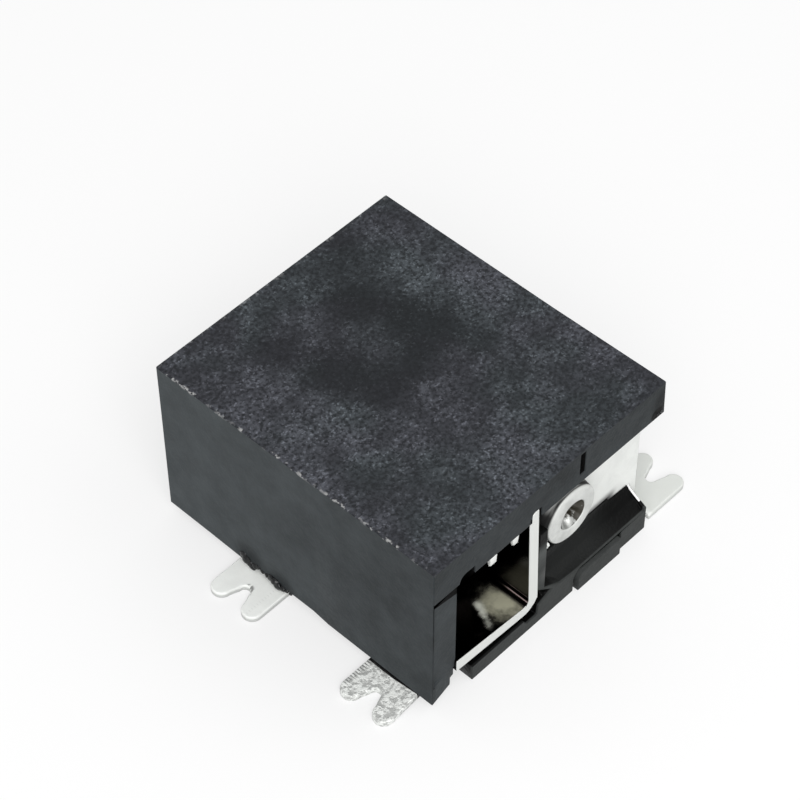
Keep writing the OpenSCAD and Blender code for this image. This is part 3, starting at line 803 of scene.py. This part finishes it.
def crimped_throat():
    """Folded inner wall of the rivet; each ring has a depth, a radius and a depth of star."""
    shape = bmesh.new()
    bmesh.ops.create_circle(shape, cap_ends=True, segments=60, radius=cup_radius * MM)
    bmesh.ops.translate(shape, verts=shape.verts, vec=(0, 0, -cup_depth * MM))
    ring = list(shape.edges)
    for depth, radius, star in throat_rings:
        made = bmesh.ops.extrude_edge_only(shape, edges=ring)["geom"]
        ring = [item for item in made if isinstance(item, bmesh.types.BMEdge)]
        for vert in (item for item in made if isinstance(item, bmesh.types.BMVert)):
            turn = math.atan2(vert.co.y, vert.co.x)
            fold = math.cos(5 * turn + 0.6) + 0.5 * noise.noise(Vector((turn, depth * 4, 7.0)))
            reach = (radius + star * fold) * MM
            vert.co = (math.cos(turn) * reach, math.sin(turn) * reach, -depth * MM)
    bmesh.ops.contextual_create(shape, geom=ring)
    bmesh.ops.recalc_face_normals(shape, faces=shape.faces)
    bmesh.ops.rotate(shape, verts=shape.verts, matrix=Matrix.Rotation(math.radians(-90), 3, "X"))
    bmesh.ops.translate(shape, verts=shape.verts, vec=mouth * MM)
    return shape


throat_tin = tin("throat tin", 0.55, 0.3, 0.6, 0.35)
clean = throat_tin.near((bore_x + 0.15, plate_y + 0.2, bore_z - 0.65), 0.8)
clean = throat_tin.rise(clean + 2.0 * (throat_tin.grain(0.2, 3.0, 0.6) - 0.5), 0.25, 0.55)
throat_tin.set(Base_Color=throat_tin.mix(clean, (0.03, 0.026, 0.017, 1.0), throat_tin.colour),
               Metallic=0.7 * clean)
make_piece(crimped_throat(), "crimped_throat", throat_tin, "pin_metal")

# %% [markdown]
# ## Flash and burrs
#
# Where the two halves of a mould wear, melt squeezes out and freezes as small glossy lumps.
# This housing has a run of them on its lower edge above the front tail, and two at the open
# end of the roof's edge. Each lump is a sphere, squashed and roughened by noise. The same
# lumps make the drop of tin that hangs beside the rivet.

# %% Flash
flash_skin = nylon("flash nylon", 0.2, 0.4)
flash_skin.set(Base_Color=level(flash_skin, 0.004 + 0.004 * flash_skin.grit))


def lumps(name, finish, slot, places):
    """Small noisy spheres at (x, y, z, radius) in millimetres, in one piece."""
    shape = bmesh.new()
    for x, y, z, radius in places:
        made = bmesh.ops.create_icosphere(shape, subdivisions=3, radius=radius * MM)["verts"]
        for vert in made:
            bumps = noise.fractal(vert.co / (radius * MM) + Vector((x, y, z)) * 9, 0.8, 2.0, 3)
            vert.co *= 1 + 0.28 * bumps
        bmesh.ops.scale(shape, verts=made, vec=(0.75, 1.25, 1.0))
        bmesh.ops.translate(shape, verts=made, vec=Vector((x, y, z)) * MM)
    make_piece(shape, name, finish, slot)


lower_edge = ((5.48, -2.55, 0.7, 0.14), (5.5, -2.4, 0.6, 0.17), (5.5, -2.25, 0.5, 0.13),
              (5.52, -2.12, 0.42, 0.12), (5.49, -2.0, 0.55, 0.12), (5.48, -1.85, 0.62, 0.1),
              (5.48, -1.65, 0.55, 0.08), (5.49, -1.4, 0.56, 0.1), (5.5, -1.2, 0.6, 0.14),
              (5.52, -1.02, 0.58, 0.17), (5.52, -0.85, 0.5, 0.16), (5.5, -0.68, 0.5, 0.12),
              (5.48, -0.5, 0.49, 0.08), (5.48, -0.32, 0.48, 0.06))
lumps("lower_edge_flash", flash_skin, "housing_plastic", lower_edge)
roof_end = ((-5.5, 6.17, 6.0, 0.12), (-5.34, 6.2, 5.97, 0.1))
lumps("roof_end_flash", flash_skin, "housing_plastic", roof_end)
beside_rivet = ((-0.06, 6.12, 3.75, 0.1), (-0.02, 6.13, 3.66, 0.07))
lumps("tin_drop", switch_tin, "pin_metal", beside_rivet)

# %% [markdown]
# ## Ground
#
# A wide white sheet at board level. Its whiteness comes from its colour and from a glow that
# only the camera and clear or glossy reflections see, so it adds no light to the part, and
# the soft shadow round the jack stays.

# %% Ground
ground_shape = bmesh.new()
bmesh.ops.create_grid(ground_shape, x_segments=1, y_segments=1, size=400 * MM)
ground_mesh = bpy.data.meshes.new("ground")
ground_shape.to_mesh(ground_mesh)
ground_shape.free()
ground = bpy.data.objects.new("ground", ground_mesh)
scene.collection.objects.link(ground)
paper = Finish("white ground", Base_Color=grey(0.38), Roughness=1.0, Specular_IOR_Level=0.0,
               Emission_Strength=1.0)
rays = paper.nodes.new("ShaderNodeLightPath")
seen = sum(Wire(paper, rays.outputs[ray + " Ray"])
           for ray in ("Is Camera", "Is Glossy", "Is Transmission"))
paper.set(Emission_Color=paper.mix(seen, grey(0.0), grey(0.58)))
ground_mesh.materials.append(paper.material)
print("ground", round(ground.dimensions.x, 2), "m wide")
